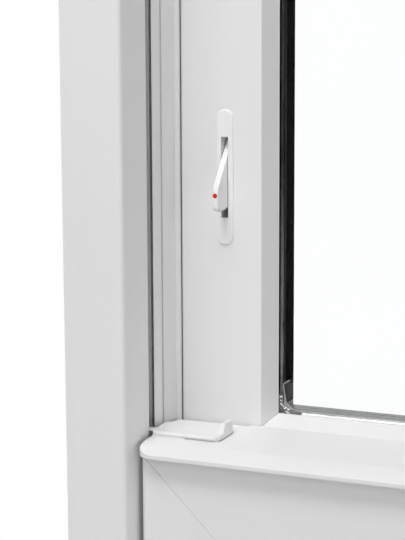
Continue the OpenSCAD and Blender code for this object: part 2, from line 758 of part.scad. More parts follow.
// Plate with round ends on the top rail, with a raised boss around the spindle
module lock_base() color("white") difference() {
  translate([0, 0, meeting_z + lip_top]) {
    at_depth(lock_y - 3) linear_extrude(lock_base_t) rotate(90) racetrack(64, 18);
    at_depth(lock_y) cylinder(r = 9, h = lock_base_t + 1.4);
  }
  at_depth(lock_y) translate([0, 0, meeting_z]) cylinder(r = spindle_r + fit, h = 20);
  lock_holes(1.6);
  for (side = [-1, 1]) at_depth(lock_y - 3)
    translate([side * 25, 0, meeting_z + lip_top + lock_base_t - 1.6]) cylinder(r = 3.1, h = 5);
}

module lock_screws() color("silver") for (side = [-1, 1]) at_depth(lock_y - 3)
  translate([side * 25, 0, meeting_z + lip_top + lock_base_t - 1.6]) difference() {
    union() {
      cylinder(r = 3, h = 1.4);
      translate([0, 0, -9]) cylinder(r = 1.6, h = 9);
    }
    for (turn = [0, 90]) rotate(turn) translate([-1.8, -0.3, 0.7]) cube([3.6, 0.6, 2]);
  }

// Sweep handle, lying along +X when the lock is open
module lock_handle() color("white") at_depth(lock_y)
  translate([0, 0, meeting_z + lip_top + lock_base_t + 1.4 + gap]) difference() {
    union() {
      cylinder(r = 8.6, h = 6);
      linear_extrude(4.6) polygon([[0, -8.2], [handle_len - 6, -5.6], [handle_len - 6, 5.6],
        [0, 8.2]]);
      translate([handle_len - 6, 0, 0]) cylinder(r = 5.6, h = 4.6);
      translate([handle_len - 4, -4, 0]) cube([3, 8, 7.2]);
    }
    translate([0, 0, -1]) cylinder(r = spindle_r, h = 5);
  }

// Spindle with a hooked finger: a curved bar carried by one arm
module lock_cam() color("silver") at_depth(lock_y) {
  translate([0, 0, cam_z]) cylinder(r = spindle_r, h = meeting_z + lip_top + lock_base_t + 5.4
    + gap - cam_z);
  translate([0, 0, cam_z]) cylinder(r = 6, h = cam_t);
  translate([0, 0, cam_z]) linear_extrude(cam_t) {
    intersection() {
      difference() {
        circle(cam_r);
        circle(cam_r - 3);
      }
      polygon([[0, 0], [-30, -15], [-30, -40], [5, -40]]);
    }
    rotate(265) translate([0, -2.5]) square([cam_r - 1.5, 5]);
  }
}

// ---------------------------------------------------------------- tilt latches

// The plug under a lower latch and the recess that it fills
module latch_plug() at_depth(latch_y + 6.8) translate([-sash_w / 2, 0, meeting_z])
  block([6, 0, lip_top - 4.4], [latch_len - 1, 12, lip_top]);

module lower_latch_base() difference() {
  union() {
    at_depth(latch_y) translate([-sash_w / 2, 0, meeting_z + lip_top]) {
      block([1, 1, 0], [latch_len - 1, latch_w - 1, latch_seat]);
      linear_extrude(latch_seat) polygon([[0.4, 2], [0.4, -latch_foot_w], [latch_foot, -0.1],
        [latch_foot, 0.4], [latch_foot, 2]]);
    }
    latch_plug();
  }
  // the groove that guides the slider's tongue
  at_depth(latch_y + 8.8 - gap) translate([-sash_w / 2, 0, meeting_z + lip_top - 3.4])
    block([8 - gap, 0, 0], [8 + tongue_len + latch_travel + gap, 8 + 2 * gap, 10]);
}

module lower_latch_bases() color("white") pair() lower_latch_base();

// Side view of the slider: x along the window, y up from the base plate
module slider_side() polygon([[0, 0], [latch_len, 0], [latch_len - 1.2, thumb_h - 0.9],
  [latch_len - 1.8, thumb_h], [latch_len - thumb_t + 0.6, thumb_h], [latch_len - thumb_t, thumb_h - 0.7],
  [thumb_x, slider_t], [0, slider_t]]);

// Outline of the slider from above
module slider_plan() difference() {
  polygon([[0, 0], [latch_len, 0], [latch_len, latch_w], [5, latch_w], [4, latch_w - 4],
    [0, latch_w - 7]]);
  edge_cut(1.6);
  translate([latch_len, 0]) mirror([1, 0]) edge_cut(4.5);
  translate([latch_len, latch_w]) mirror([0, 1]) mirror([1, 0]) edge_cut(5.5);
}

// What lies above the slider, seen from its end, for a length of it
module slider_cut(x0, x1, line) translate([x0, 0, 0]) rotate([90, 0, 90]) linear_extrude(x1 - x0)
  polygon(concat([[-1, thumb_h + 1], [-1, slider_front]], line, [[latch_w + 1, thumb_h + 1]]));

// Softens the slider's top edge in front
module slider_edge() translate([0, 0, slider_front + 0.05]) mirror([0, 0, 1]) rotate([90, 0, 90])
  linear_extrude(latch_len) edge_cut(1);

module lower_latch() color("white") translate([-sash_w / 2, 0, meeting_z + lip_top + latch_seat])
  at_depth(latch_y) {
    difference() {
      intersection() {
        translate([0, latch_w, 0.1]) rotate([90, 0, 0]) linear_extrude(latch_w) slider_side();
        linear_extrude(10) slider_plan();
      }
      slider_edge();
      slider_cut(-1, thumb_x + 0.3, [[latch_w + 1, slider_t + 0.1]]);
      // the thumb tab rises steeply in front and falls a little toward the rear
      slider_cut(thumb_x + 0.2, latch_len + 1, [[7.8, 2.15], [11.4, thumb_h - 0.9], [12.2, thumb_h - 0.3],
        [13.2, thumb_h], [21.6, thumb_h - 0.2], [22.6, thumb_h - 0.8], [latch_w, thumb_h - 1.8],
        [latch_w + 1, thumb_h - 1.8]]);
      // a shallow scoop for the finger beside it
      translate([latch_len - 9.1, 10, slider_t + scoop_r - 0.3]) rotate([-90, 0, 0])
        cylinder(r = scoop_r, h = latch_w - 12);
    }
    // nose that locks into the balance slot
    translate([-nose_reach, slot_y - latch_y + 0.4, 1.2]) cube([nose_reach + 5, nose_w, 1.1]);
    // tongue in the base's groove
    translate([8, 8.8, -3.6]) cube([tongue_len, 8, 4]);
  }

// The upper sash's latches lie inside its top rail, flush with its top
module upper_latch_space() translate([-sash_w / 2, shoe_mid - lower_y, upper_top])
  block([-1, -7, -9], [52, 7, 1]);

module upper_latch_case() at_depth(upper_y)
  translate([-sash_w / 2, shoe_mid - lower_y, upper_top]) difference() {
    block([0, -7, -9], [52, 7, 0]);
    block([-1, -nose_w / 2 - 0.4, -7.4], [50, nose_w / 2 + 0.4, 1]);
  }

module upper_latch_cases() color("whitesmoke") pair() upper_latch_case();

module upper_latch() color("white") at_depth(upper_y)
  translate([-sash_w / 2, shoe_mid - lower_y, upper_top]) {
    block([-nose_reach, -nose_w / 2, -7], [38, nose_w / 2, -2.4]);
    block([31, -nose_w / 2, -2.4], [38, nose_w / 2, -0.6]);
  }

// ---------------------------------------------------------------- the parts

jamb();  // jamb_left
mirror([1, 0, 0]) jamb();  // jamb_right
head();
sill();
balance_housings();
balance_coils();
lower_ribbons();
upper_ribbons();
upper_stile();  // upper_stile_left
mirror([1, 0, 0]) upper_stile();  // upper_stile_right
upper_top_rail();
upper_meeting_rail();
upper_inner_pane();
upper_outer_pane();
upper_spacer();
upper_spacer_corners();
upper_sealant();
upper_gasket();
upper_beads();
upper_piles();
limiter_plates();
limiter_housings();
limiter_pins();
limiter_lever();  // limiter_lever_left
mirror([1, 0, 0]) limiter_lever();  // limiter_lever_right
limiter_dot();  // limiter_dot_left
mirror([1, 0, 0]) limiter_dot();  // limiter_dot_right
keeper();
keeper_screws();
upper_latch_cases();
upper_latch();  // upper_latch_left
mirror([1, 0, 0]) upper_latch();  // upper_latch_right
upper_shoes();
upper_shoe_cams();
upper_pivot_bars();
lower_stile();  // lower_stile_left
mirror([1, 0, 0]) lower_stile();  // lower_stile_right
lower_top_rail();
lower_bottom_rail();
lower_inner_pane();
lower_outer_pane();
lower_spacer();
lower_spacer_corners();
lower_sealant();
lower_gasket();
lower_beads();
meeting_pile();
bottom_seal();
lower_latch_bases();
lower_latch();  // lower_latch_left
mirror([1, 0, 0]) lower_latch();  // lower_latch_right
lower_shoes();
lower_shoe_cams();
lower_pivot_bars();
lock_base();
lock_screws();
lock_handle();
lock_cam();
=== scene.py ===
# %% [markdown]
# # A double-hung window, seen at the corner of its lower sash
# The window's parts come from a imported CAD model, which gives every piece its size and place.
# This lesson adds what CAD can't: how white vinyl, glass, plated steel and brush pile look, plus
# the small soft or crumpled pieces that are easier to make from points in code.

# %% Load the window
import math
import random

import bmesh
import bpy
from mathutils import Matrix, Vector


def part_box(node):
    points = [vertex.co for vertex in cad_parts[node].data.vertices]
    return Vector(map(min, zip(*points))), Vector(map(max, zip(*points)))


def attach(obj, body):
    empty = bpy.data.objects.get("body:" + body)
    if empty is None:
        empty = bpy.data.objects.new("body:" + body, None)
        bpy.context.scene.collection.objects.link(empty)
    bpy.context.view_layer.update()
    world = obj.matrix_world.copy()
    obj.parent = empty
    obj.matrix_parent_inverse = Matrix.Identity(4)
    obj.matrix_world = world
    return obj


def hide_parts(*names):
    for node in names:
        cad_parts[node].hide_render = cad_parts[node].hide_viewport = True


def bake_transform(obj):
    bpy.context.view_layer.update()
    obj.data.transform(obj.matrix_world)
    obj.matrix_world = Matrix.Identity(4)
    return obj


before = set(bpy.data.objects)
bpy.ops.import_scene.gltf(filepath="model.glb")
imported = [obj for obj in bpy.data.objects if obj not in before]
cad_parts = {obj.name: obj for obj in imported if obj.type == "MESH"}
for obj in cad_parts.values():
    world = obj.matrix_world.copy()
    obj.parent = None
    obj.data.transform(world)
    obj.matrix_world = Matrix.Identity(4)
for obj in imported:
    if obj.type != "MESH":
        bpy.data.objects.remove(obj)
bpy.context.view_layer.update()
MM = 0.001

# %% [markdown]
# ## The camera
# A close view of a window is taken from about a metre off with a long lens, so upright lines stay
# nearly parallel. This camera looks down a little and to the left, at the corner where both sashes
# meet the jamb. Its three axes are written as the rows of a rotation, because a corner view has no
# simple aim point.

# %% Set up the camera
RIGHT = Vector((0.92049954, 0.39071842, -0.00443954))
DOWN = Vector((0.06701205, -0.16904778, -0.98332713))
AHEAD = Vector((-0.38495452, 0.90485466, -0.18179124))
EYE = Vector((0.1252, -0.8951, 0.76405))

camera = bpy.data.objects.new("camera", bpy.data.cameras.new("camera"))
bpy.context.scene.collection.objects.link(camera)
turn = Matrix((RIGHT, -DOWN, -AHEAD)).transposed().to_4x4()
camera.matrix_world = Matrix.Translation(EYE) @ turn
camera.data.sensor_width = 36
camera.data.lens = 123.8
camera.data.clip_start = 0.02
bpy.context.scene.camera = camera
print("camera at", [round(v, 3) for v in camera.location])

# %% [markdown]
# ## Shader sums as Python
# A procedural finish is mostly arithmetic on textures. Wiring Math nodes by hand hides that, so a
# small class wraps a node's output and turns + - * > and abs() into Math nodes.

# %% Wrap a shader output
class Wire:
    """The output of a shader node, ready for arithmetic."""

    def __init__(self, finish, socket):
        self.finish, self.socket = finish, socket

    def math(self, operation, *values):
        sockets = dict(enumerate(values))
        return self.finish.add("ShaderNodeMath", {"operation": operation}, sockets)

    def __add__(self, other):
        return self.math("ADD", self, other)

    def __sub__(self, other):
        return self.math("SUBTRACT", self, other)

    def __rsub__(self, other):
        return self.math("SUBTRACT", other, self)

    def __mul__(self, other):
        return self.math("MULTIPLY", self, other)

    def __gt__(self, other):
        return self.math("GREATER_THAN", self, other)

    def __abs__(self):
        return self.math("ABSOLUTE", self)

    def smooth(self, low, high):
        """0 below low, 1 above high, and a soft step between."""
        settings = {"interpolation_type": "SMOOTHSTEP"}
        return self.finish.add("ShaderNodeMapRange", settings, {"Value": self, 1: low, 2: high})

    __radd__ = __add__
    __rmul__ = __mul__


print("a wire can be added, subtracted, multiplied, compared and smoothed")

# %% [markdown]
# ## A material as a finish
# Every finish here has the same few inputs: a colour, a roughness and a relief. A second class
# keeps the node handling in one place. Its add method makes any kind of node, noise makes the
# texture that everything starts from, and wear feeds the result to the surface shader.

# %% Wrap a material
EVEN = (1, 1, 1)             # how far a texture is stretched: not at all, or along x or z
ALONG_X, ALONG_Z = (0.02, 1, 1), (1, 1, 0.02)
BEVEL_RAYS = 6


class Finish:
    """A material being made. Constants go straight onto the surface shader's sockets."""

    def __init__(self, name, **constants):
        self.material = bpy.data.materials.new(name)
        self.material.use_nodes = True
        self.tree = self.material.node_tree
        self.surface = self.tree.nodes["Principled BSDF"]
        for label, value in constants.items():
            self.surface.inputs[label.replace("_", " ")].default_value = value

    def add(self, kind, settings=None, sockets=None, out=0):
        """A new node with its settings, and with what goes into its sockets."""
        node = self.tree.nodes.new(kind)
        for key, value in (settings or {}).items():
            setattr(node, key, value)
        for key, value in (sockets or {}).items():
            self.feed(node.inputs[key], value)
        return Wire(self, node.outputs[out])

    def feed(self, socket, value):
        if isinstance(value, Wire):
            self.tree.links.new(value.socket, socket)
        else:
            socket.default_value = value

    def place(self, stretch=EVEN):
        """Where a point is on its part, in metres, with each axis scaled."""
        spot = self.add("ShaderNodeTexCoord", out="Object")
        return self.add("ShaderNodeVectorMath", {"operation": "MULTIPLY"}, {0: spot, 1: stretch})

    def axis(self, letter):
        return self.add("ShaderNodeSeparateXYZ", None, {0: self.place()}, out=letter)

    def noise(self, per_metre, detail=2, stretch=EVEN):
        sockets = {"Vector": self.place(stretch), "Scale": per_metre, "Detail": detail}
        return self.add("ShaderNodeTexNoise", None, sockets)

    def blend(self, mask, low, high):
        """The colour low where mask is 0, high where it is 1."""
        return self.add("ShaderNodeMix", {"data_type": "RGBA"}, {0: mask, 6: low, 7: high}, out=2)

    def wear(self, colour=None, roughness=None, relief=None, depth=0.02, soften=0):
        """Feeds what varies. The relief's depth, and how far edges look rounded, are in mm."""
        if colour is not None:
            self.feed(self.surface.inputs["Base Color"], colour)
        if roughness is not None:
            self.feed(self.surface.inputs["Roughness"], roughness)
        if relief is not None:
            sockets = {"Distance": depth * MM, "Height": relief}
            if soften:
                sockets["Normal"] = self.add("ShaderNodeBevel", {"samples": BEVEL_RAYS},
                                             {"Radius": soften * MM})
            self.feed(self.surface.inputs["Normal"], self.add("ShaderNodeBump", None, sockets))
        return self.material


def grey(tone, tint=(0, 0, 0)):
    return (tone + tint[0], tone + tint[1], tone + tint[2], 1)


def list_finishes(kind, *finishes):
    print(kind + ":", ", ".join(finish.name for finish in finishes))


print("a mid grey is", grey(0.5))

# %% [markdown]
# ## White vinyl
# The frame and sashes are lengths of extruded rigid vinyl. The die leaves very faint streaks that
# run along each length, the skin has a fine satin grain, and big faces are never perfectly flat.
# All three are noise at different scales: one stretched along the length, one fine, one broad.
# They move the roughness and the relief far more than the colour, which stays a clean white.
# Each kind of length has its own tone, which stands in for how light falls on it: the upper sash
# is painted lighter, and the lower sash, head and sill darker, as painted light and shade. The
# sashes are welded at the corners, and a fine groove is left along each mitre.

# %% Make the vinyl finishes
MITRE = 0.00022             # half the width of the fine groove at a welded corner, in metres
MITRE_TONE = 0.64
FRONT_TO_BACK = (1, 0.05, 1)    # for the beads, which run upright and level in one piece


def corner_lines(sash):
    """Where |x| + z and |x| - z stay constant along the mitres of a sash, in metres."""
    low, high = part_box(sash + "_stile_left")
    return (1, abs(low[0]) + low[2]), (-1, abs(low[0]) - high[2])


def welded(made, colour, sash):
    """Darkens the colour in the mitre grooves of a sash."""
    side, rise = abs(made.axis("X")), made.axis("Z")
    for sign, place in corner_lines(sash):
        off = abs(side + rise * sign - place)
        clear = off.smooth(MITRE * 0.5, MITRE * 1.5)
        colour = made.blend(clear, grey(MITRE_TONE), colour)
    return colour


def vinyl(name, run, tone=0.86, sash=None):
    """Vinyl whose streaks run one way. The name of a sash adds that sash's mitres."""
    made = Finish(name, IOR=1.48)
    streaks = made.noise(260, 3, run)
    grain = made.noise(1700, 2)
    cloud = made.noise(7, 3)
    scuffs = made.noise(900, 1, run).smooth(0.66, 0.78)
    shade = (streaks * 0.5 + cloud * 0.5).smooth(0.3, 0.75)
    colour = made.blend(shade, grey(tone * 0.975, (0, 0, -0.006)), grey(tone, (0, 0, 0.002)))
    if sash:
        colour = welded(made, colour, sash)
    rough = 0.36 + 0.1 * cloud + 0.07 * streaks + 0.05 * scuffs
    return made.wear(colour, rough, streaks * 0.6 + grain * 0.25 + cloud * 2.5, 0.025)


# These tones are painted light and shade: the upper sash lighter, the lower sash, head and sill
# darker.
vinyl_upright = vinyl("vinyl_upright", ALONG_Z)
vinyl_level = vinyl("vinyl_level", ALONG_X, 0.80)
upper_upright = vinyl("upper_upright", ALONG_Z, 0.88, "upper")
upper_level = vinyl("upper_level", ALONG_X, 0.865, "upper")
lower_upright = vinyl("lower_upright", ALONG_Z, 0.84, "lower")
lower_level = vinyl("lower_level", ALONG_X, 0.84, "lower")
vinyl_bead = vinyl("vinyl_bead", FRONT_TO_BACK, 0.84)
list_finishes("vinyl", vinyl_upright, vinyl_level, upper_upright, upper_level, lower_upright,
              lower_level, vinyl_bead)

# %% [markdown]
# ## White moulded hardware
# The limiter, the latches and the lock are injection moulded. Mould steel is polished, so they
# shine more than the vinyl, and they have flow marks instead of streaks. Fingers polish the high
# spots. Each comes from its own mould and batch, so the whites differ: the limiter's plate is the
# brightest, the latches are duller, and the nylon inside the jambs isn't dyed at all. The
# limiter's housings, deep in their slot, take the plate's bright white as painted light, so the
# slot looks lit.

# %% Make the moulded finishes
MOULD_EDGE = 0.7             # how far moulded edges look rounded, in mm
MOULD_FLOW = (1, 1, 0.4)     # flow marks are a little longer upwards


def moulded(name, tone, shine):
    made = Finish(name, IOR=1.5, Coat_Roughness=0.25)
    flow = made.noise(120, 4, MOULD_FLOW)
    grain = made.noise(2600, 2)
    touch = made.noise(60, 2).smooth(0.45, 0.7)
    colour = made.blend(flow.smooth(0.35, 0.7), grey(tone * 0.97, (0, 0, -0.008)), grey(tone))
    return made.wear(colour, shine + 0.08 * flow - 0.06 * touch, flow * 0.5 + grain * 0.3, 0.02,
                     soften=MOULD_EDGE)


hardware_white = moulded("hardware_white", 0.92, 0.32)
plate_white = moulded("plate_white", 0.945, 0.34)
latch_white = moulded("latch_white", 0.85, 0.32)
nylon_natural = moulded("nylon_natural", 0.82, 0.42)
list_finishes("moulded", hardware_white, plate_white, latch_white, nylon_natural)

# %% [markdown]
# ## Metals
# Screws, springs and pins are zinc-plated steel. Its fine brushing is noise stretched along one
# axis, under a broad stain. The cams are dull die-cast zinc, which is pitted all over.

# %% Make the metal finishes
def plated(name, tone, run, rough=0.3, metallic=1.0):
    made = Finish(name, Metallic=metallic)
    brush = made.noise(1500, 3, run)
    stain = made.noise(90, 3)
    colour = made.blend(stain.smooth(0.35, 0.75), grey(tone * 0.8, (0, 0, 0.006)), grey(tone))
    return made.wear(colour, rough + 0.14 * brush + 0.1 * stain, brush, 0.012)


def cast_zinc(name):
    made = Finish(name, Metallic=0.85)
    pits = made.noise(800, 3)
    dull = made.noise(120, 4)
    colour = made.blend(dull.smooth(0.3, 0.7), grey(0.20), grey(0.33, (0, 0.002, 0.006)))
    return made.wear(colour, 0.45 + 0.2 * dull, pits.smooth(0.3, 0.6) + dull * 0.5, 0.05)


bright_steel = plated("bright_steel", 0.58, ALONG_X)
spring_steel = plated("spring_steel", 0.45, ALONG_Z, 0.25)
zinc_dull = cast_zinc("zinc_dull")
list_finishes("metals", bright_steel, spring_steel, zinc_dull)

# %% [markdown]
# ## Rolled strip
# Tin-plated strip spaces the panes. It is rolled, so its marks run along it: across at the bottom,
# upwards at the sides. The upright lengths are painted darker than the bottom one, as painted
# shade, and a little lighter near the bottom. Where the strip is bent and crumpled it needs three
# more tones of painted light and shade: dark folds and dull foil as painted shade, and bright
# edges as painted highlights.

# %% Make the strip's finishes
SPACER_SIDE = 0.2155        # past this, a point is on an upright length of the spacer, in metres
LIGHTER_BELOW = (0.52, 0.66)      # an upright length is lighter below these heights, in metres


def rolled_strip(name, tone, shaded_side_tone, shaded_low_tone):
    """A strip with one tone along the bottom, and two darker ones on its upright lengths as
    painted shade, lighter lower down.
    """
    made = Finish(name, Metallic=1.0)
    upright = abs(made.axis("X")) > SPACER_SIDE
    across, upward = made.noise(1300, 3, ALONG_X), made.noise(1300, 3, ALONG_Z)
    rolled = across * (1 - upright) + upward * upright
    dull = made.noise(70, 3)
    shade = (rolled * 0.6 + dull * 0.4).smooth(0.3, 0.7)
    level = made.blend(shade, grey(tone * 0.72, (0, 0.004, 0.004)), grey(tone, (0, 0.006, 0.006)))
    high, low = (made.blend(shade, grey(dark * 0.6), grey(dark * 1.4, (0.002, 0, -0.002)))
                 for dark in (shaded_side_tone, shaded_low_tone))
    side = made.blend(made.axis("Z").smooth(*LIGHTER_BELOW), low, high)
    colour = made.blend(upright, level, side)
    return made.wear(colour, 0.18 + 0.12 * rolled + 0.1 * dull, rolled, 0.003)


# Both strips get painted shade on their upright lengths; the shoulder's bottom length is a painted
# highlight.
spacer_strip = rolled_strip("spacer_strip", 0.235, 0.045, 0.10)
shoulder_highlight_shade = rolled_strip("shoulder_highlight_shade", 0.82, 0.04, 0.17)
# Painted shade for the bend and the foil, a painted highlight for the creases and the tab's cut
# edge.
fold_shade = plated("fold_shade", 0.14, EVEN, 0.35)
foil_shade = plated("foil_shade", 0.54, EVEN, 0.4, 0.4)
crease_highlight = plated("crease_highlight", 0.97, EVEN, 0.12)
list_finishes("strip", spacer_strip, shoulder_highlight_shade, fold_shade, foil_shade, crease_highlight)

# %% [markdown]
# ## Dark and soft materials
# Sealant, desiccant and gaskets all live in the shadow round the glass. Black sealant is a little
# glossy and lumpy, the drying agent in its carrier is dead matte, and the gasket is soft grey
# rubber. The drying agent's black also serves as a painted shadow under the corner tabs, and the
# corner key is painted dark as painted shade. All of them are one helper with coarser or finer
# lumps.

# %% Make the dark finishes
def sealing(name, dark, light, rough, per_metre, depth, gloss=0.5):
    made = Finish(name, Specular_IOR_Level=gloss)
    lumps = made.noise(per_metre, 4)
    fine = made.noise(per_metre * 8, 2)
    colour = made.blend(lumps.smooth(0.3, 0.7), grey(dark), grey(light))
    return made.wear(colour, rough + 0.15 * lumps, lumps + fine * 0.3, depth)


butyl_black = sealing("butyl_black", 0.006, 0.012, 0.35, 220, 0.15)
# Also the painted shadow in the gaps under the corner tabs.
desiccant_and_shadow_black = sealing("desiccant_and_shadow_black", 0.0025, 0.006, 0.8, 900, 0.05, 0.02)
sealant_smear = sealing("sealant_smear", 0.022, 0.036, 0.6, 500, 0.03, 0.1)
# The corner key is painted dark, as painted shade of the bend.
shaded_corner_key = sealing("shaded_corner_key", 0.015, 0.030, 0.5, 400, 0.03, 0.2)
gasket_grey = sealing("gasket_grey", 0.20, 0.28, 0.5, 500, 0.05)
seal_dark = sealing("seal_dark", 0.03, 0.05, 0.55, 500, 0.05)
list_finishes("dark", butyl_black, desiccant_and_shadow_black, sealant_smear, shaded_corner_key, gasket_grey,
              seal_dark)

# %% [markdown]
# ## Brush pile and the red mark
# Brush pile is grey polypropylene fibre: each strand differs from the next, tufts differ again,
# and a slight sheen shows at the edges. The dot on the limiter's lever is a drop of red enamel,
# filled by hand, so its colour pools unevenly.

# %% Make the fibre and the enamel
def brush_fibre(name):
    made = Finish(name, Sheen_Weight=0.3)
    strand = made.noise(2200, 3)
    clump = made.noise(160, 2)
    colour = made.blend((strand * 0.6 + clump * 0.4).smooth(0.3, 0.7), grey(0.14), grey(0.34))
    return made.wear(colour, 0.7 + 0.2 * strand, strand, 0.1)


def red_enamel(name):
    made = Finish(name, Specular_IOR_Level=0.15)
    pool = made.noise(1500, 2)
    colour = made.blend(pool.smooth(0.3, 0.7), (0.60, 0.022, 0.003, 1), (0.75, 0.045, 0.004, 1))
    return made.wear(colour, 0.3 + 0.15 * pool, pool, 0.02)


pile_grey = brush_fibre("pile_grey")
mark_red = red_enamel("mark_red")
list_finishes("small parts", pile_grey, mark_red)

# %% [markdown]
# ## Glass
# Float glass is nearly colourless seen straight through. A pale green stays in the base colour,
# and the shader bends and reflects light by itself. The panes are real solids with two faces each,
# so nothing more is needed. An anti-glare coat keeps reflections faint: that is the dim specular
# tint. Roughness varies by a hair, as on washed glass.

# %% Make the glass
def float_glass(name):
    made = Finish(name, Transmission_Weight=1.0, IOR=1.5, Specular_Tint=grey(0.04))
    film = made.noise(12, 3)
    colour = made.blend(film, (0.985, 0.995, 0.99, 1), (0.995, 1.0, 0.998, 1))
    return made.wear(colour, 0.002 * film)


clear_glass = float_glass("clear_glass")
list_finishes("glass", clear_glass)

# %% [markdown]
# ## Dress the CAD parts
# Most parts have the right shape already and only need a finish. A table from finish to part names
# keeps that in one place, and a check makes sure that no part was forgotten.

# %% Give each part its finish
dress = {
    vinyl_upright: ["jamb_left", "jamb_right"],
    vinyl_level: ["head", "sill"],
    upper_upright: ["upper_stile_left", "upper_stile_right"],
    upper_level: ["upper_top_rail", "upper_meeting_rail"],
    lower_upright: ["lower_stile_left", "lower_stile_right"],
    lower_level: ["lower_top_rail", "lower_bottom_rail"],
    vinyl_bead: ["upper_beads", "lower_beads"],
    hardware_white: ["limiter_lever_left", "limiter_lever_right", "lock_base", "lock_handle"],
    # The housings take the plate's brighter white as painted light, so their deep slot looks lit.
    plate_white: ["limiter_plates", "limiter_housings"],
    latch_white: ["upper_latch_left", "upper_latch_right", "lower_latch_bases",
                  "lower_latch_left", "lower_latch_right"],
    nylon_natural: ["balance_housings", "upper_latch_cases", "upper_shoes", "lower_shoes"],
    bright_steel: ["keeper", "keeper_screws", "limiter_pins", "upper_pivot_bars",
                   "lower_pivot_bars", "lock_screws"],
    spring_steel: ["balance_coils", "lower_ribbons", "upper_ribbons"],
    zinc_dull: ["upper_shoe_cams", "lower_shoe_cams", "lock_cam"],
    clear_glass: ["upper_inner_pane", "upper_outer_pane", "lower_inner_pane", "lower_outer_pane"],
    spacer_strip: ["upper_spacer", "upper_spacer_corners", "lower_spacer", "lower_spacer_corners"],
    butyl_black: ["upper_sealant", "lower_sealant"],
    gasket_grey: ["upper_gasket", "lower_gasket"],
    seal_dark: ["bottom_seal"],
    pile_grey: ["upper_piles", "meeting_pile"],
    mark_red: ["limiter_dot_left", "limiter_dot_right"],
}
for finish, names in dress.items():
    for name in names:
        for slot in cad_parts[name].material_slots:
            slot.material = finish
left_out = set(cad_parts) - {name for names in dress.values() for name in names}
assert not left_out, left_out
print("dressed", len(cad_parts), "parts in", len(dress), "finishes")

# %% [markdown]
# ## A helper for new pieces
# A new piece is a list of points and faces. One class collects them, as grids or closed tubes, and
# a function makes the mesh, gives it a finish and says which body it moves with.

# %% Collect points and faces
class Shape:
    """Points in mm, and the faces between them, for one piece."""

    def __init__(self):
        self.points, self.faces = [], []

    def grid(self, rows, closed=False):
        """Equally long rows of points, joined by quads. A closed row joins end to end."""
        start, wide = len(self.points), len(rows[0])
        for row in rows:
            self.points += row
        for i in range(len(rows) - 1):
            for j in range(wide if closed else wide - 1):
                a, b = start + i * wide + j, start + i * wide + (j + 1) % wide
                self.faces.append((a, b, b + wide, a + wide))

    def tube(self, rings):
        """A closed tube through rings of points, with its ends filled."""
        start, wide = len(self.points), len(rings[0])
        self.grid(rings, closed=True)
        last = start + (len(rings) - 1) * wide
        self.faces += [tuple(range(start, start + wide)), tuple(range(last, last + wide))]

    def mesh(self, name):
        mesh = bpy.data.meshes.new(name)
        mesh.from_pydata([Vector(p) * MM for p in self.points], [], self.faces)
        return mesh


def shares(steps):
    """Even steps from 0 to 1."""
    return [i / steps for i in range(steps + 1)]


print("shares of a length in four steps:", shares(4))

# %% Make a piece from a shape
def make_piece(name, shape, body, finish, smooth=False):
    mesh = shape.mesh(name)
    work = bmesh.new()
    work.from_mesh(mesh)
    bmesh.ops.recalc_face_normals(work, faces=work.faces)
    work.to_mesh(mesh)
    work.free()
    for face in mesh.polygons:
        face.use_smooth = smooth
    mesh.materials.append(finish)
    piece = bpy.data.objects.new(name, mesh)
    bpy.context.scene.collection.objects.link(piece)
    if body:
        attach(piece, body)
    print(name, len(mesh.polygons), "faces")
    return piece


def in_mm(node):
    """The lowest and highest corner of a CAD part's box."""
    return [tuple(v / MM for v in corner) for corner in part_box(node)]


SASHES = ("upper", "lower")
for sash in SASHES:
    print(sash, "spacer from", [round(v, 1) for v in in_mm(sash + "_spacer")[0]])

# %% [markdown]
# ## The spacer between the panes
# A sealed unit's panes are held apart by a roll-formed steel strip that runs round the edge. Its
# shoulders are rounded by the rollers, and two shallow lines are rolled into the face that shows.
# The near shoulder is wide, and along the bottom it is painted bright as a painted highlight line,
# so it is a piece of its own; up the sides its finish is painted dark as painted shade. The CAD
# spacer has sharp edges, so both replace it: a profile is carried round the four corners of a
# loop, mitred.

# %% Draw the spacer's profiles
SPACER_H, SPACER_W = 8.0, 16.0
SHOULDER_FALL, SHOULDER_RUN = 3.2, 1.9     # the near shoulder, down and back
REAR_SHOULDER = 0.3
NEAR_EDGE, FAR_EDGE = 0.7, 0.3             # clear of the panes, where the sealing bead is
HIDDEN_EDGE = 0.6                          # the profiles start this far in
SHOULDER_BACK = NEAR_EDGE + SHOULDER_RUN
BACK_STEP = 0.3                            # down to one more point on the shoulder's flat back
ROLLED_LINES = (6.5, 11.0)                 # how far back the two shallow lines are
LINE_HALF, LINE_DEPTH = 0.5, 0.14


def arc(centre, radii, start, stop, steps):
    """Points on an arc with a radius for each axis. The angles are in degrees."""
    turns = [math.radians(start + (stop - start) * share) for share in shares(steps)]
    return [(centre[0] + radii[0] * math.cos(t), centre[1] + radii[1] * math.sin(t))
            for t in turns]


# Both profiles are (inward, depth) points: in from the hidden edge, back from the indoor pane.
def spacer_profile():
    far = SPACER_W - FAR_EDGE
    line = [(SPACER_H, SHOULDER_BACK)]
    for back in ROLLED_LINES:
        line += [(SPACER_H, back - LINE_HALF), (SPACER_H - LINE_DEPTH, back),
                 (SPACER_H, back + LINE_HALF)]
    line += arc((SPACER_H - REAR_SHOULDER, far - REAR_SHOULDER), (REAR_SHOULDER, REAR_SHOULDER),
                0, 90, 4)
    return line + [(HIDDEN_EDGE, far), (HIDDEN_EDGE, SHOULDER_BACK)]


def shoulder_profile():
    line = arc((SPACER_H - SHOULDER_FALL, SHOULDER_BACK), (SHOULDER_FALL, SHOULDER_RUN),
               -90, 0, 8)
    return ([(HIDDEN_EDGE, NEAR_EDGE)] + line
            + [(SPACER_H - BACK_STEP, SHOULDER_BACK), (HIDDEN_EDGE, SHOULDER_BACK)])


print("profile points:", len(spacer_profile()), "and", len(shoulder_profile()))

